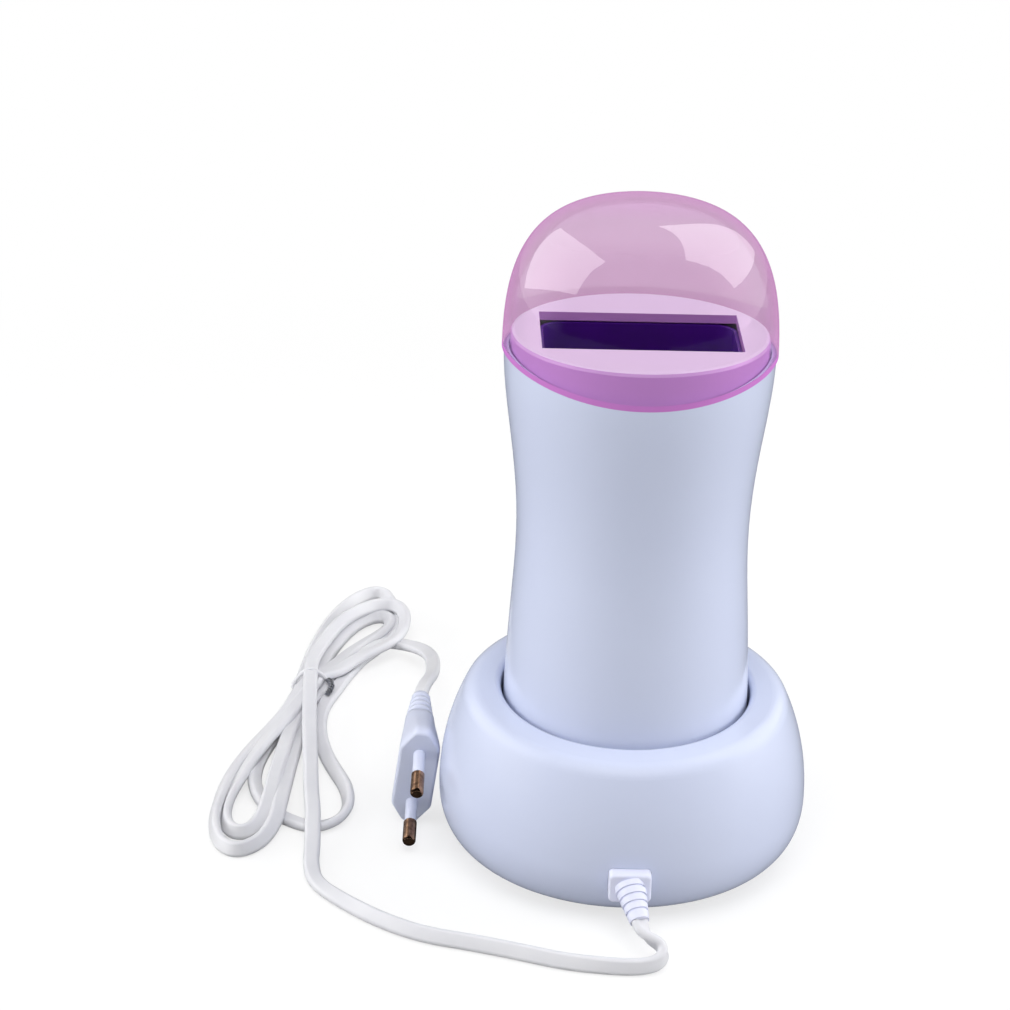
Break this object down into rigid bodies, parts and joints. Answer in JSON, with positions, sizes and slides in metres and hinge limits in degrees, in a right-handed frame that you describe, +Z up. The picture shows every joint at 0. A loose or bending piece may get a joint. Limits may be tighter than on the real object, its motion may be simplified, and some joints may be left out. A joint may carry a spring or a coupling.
{
  "type": "roll-on wax heater",
  "caption": "Round waisted wax warmer with a cartridge slot under a clear dome lid, standing in a round base with sprung contacts, a mains cord and a plug.",
  "frame": {"origin": "on the table under the middle of the round base", "axes": "+Z up along the handset's axis, -Y towards the cord inlet, +X to the right of the inlet"},
  "size_m": [0.1804, 0.2531, 0.2002],
  "materials": {
    "shell_plastic": "smooth, pale blue white",
    "lid_plastic": "clear, mauve, polished",
    "tray_plastic": "smooth, pale",
    "dark_liner": "dark coated sheet",
    "heater_metal": "plain",
    "element_ceramic": "grey ceramic",
    "mica": "pressed sheet",
    "bracket_steel": "zinc plated",
    "screw_steel": "zinc plated",
    "spring_steel": "plain wire",
    "contact_brass": "turned",
    "inner_plastic": "moulded, natural white",
    "control_plastic": "black phenolic",
    "fuse_case": "drawn case",
    "foot_rubber": "soft",
    "cord_pvc": "smooth white sheath",
    "plug_pvc": "moulded, pale",
    "pin_brass": "nickelled, worn",
    "wire_pvc": "insulated wire",
    "lens_plastic": "translucent red",
    "lamp_glass": "small bulb",
    "tie_plastic": "coated wire tie"
  },
  "bodies": {
    "base": {"base_shell": "shell_plastic", "base_bottom_plate": "inner_plastic", "base_feet": "foot_rubber", "base_screws": "screw_steel", "contact_block": "inner_plastic", "contact_cover": "inner_plastic", "contact_terminals": "contact_brass", "contact_spring_left": "spring_steel", "contact_spring_right": "spring_steel", "block_screws": "screw_steel", "strain_relief": "plug_pvc", "cord_clamp": "inner_plastic", "clamp_screws": "screw_steel", "inner_lead": "cord_pvc", "base_wires": "wire_pvc", "power_cord_lead": "cord_pvc", "power_cord_hank": "cord_pvc", "power_cord_tail": "cord_pvc", "cord_tie": "tie_plastic", "plug_body": "plug_pvc", "plug_pins": "pin_brass", "plug_pin_sleeves": "plug_pvc"},
    "contact_pin_left": {"contact_pin_left": "contact_brass"},
    "contact_pin_right": {"contact_pin_right": "contact_brass"},
    "handset": {"handset_shell": "shell_plastic", "handset_bottom_cap": "shell_plastic", "cap_screws": "screw_steel", "contact_pads": "contact_brass", "chamber_support": "inner_plastic", "support_screws": "screw_steel", "heating_chamber": "dark_liner", "top_tray": "tray_plastic", "heater_plate_front": "heater_metal", "heater_plate_back": "heater_metal", "ptc_element_front": "element_ceramic", "ptc_element_back": "element_ceramic", "mica_sheet_front": "mica", "mica_sheet_back": "mica", "element_bracket_front": "bracket_steel", "element_bracket_back": "bracket_steel", "bracket_screws_front": "screw_steel", "bracket_screws_back": "screw_steel", "thermostat": "control_plastic", "thermal_fuse": "fuse_case", "indicator_lens": "lens_plastic", "indicator_lamp": "lamp_glass", "handset_wires": "wire_pvc"},
    "lid": {"lid": "lid_plastic"}
  },
  "joints": [
    {"name": "handset_lift", "type": "slide", "parent": "base", "child": "handset", "axis": [0, 0, 1], "range_m": [0, 0.08]},
    {"name": "lid_lift", "type": "slide", "parent": "handset", "child": "lid", "axis": [0, 0, 1], "range_m": [0, 0.08]},
    {"name": "contact_left_travel", "type": "slide", "parent": "base", "child": "contact_pin_left", "axis": [0, 0, 1], "range_m": [-0.002, 0], "stiffness_N_per_m": 150, "springref_m": 0.001, "deforming": ["contact_spring_left"]},
    {"name": "contact_right_travel", "type": "slide", "parent": "base", "child": "contact_pin_right", "axis": [0, 0, 1], "range_m": [-0.002, 0], "stiffness_N_per_m": 150, "springref_m": 0.001, "deforming": ["contact_spring_right"]}
  ]
}
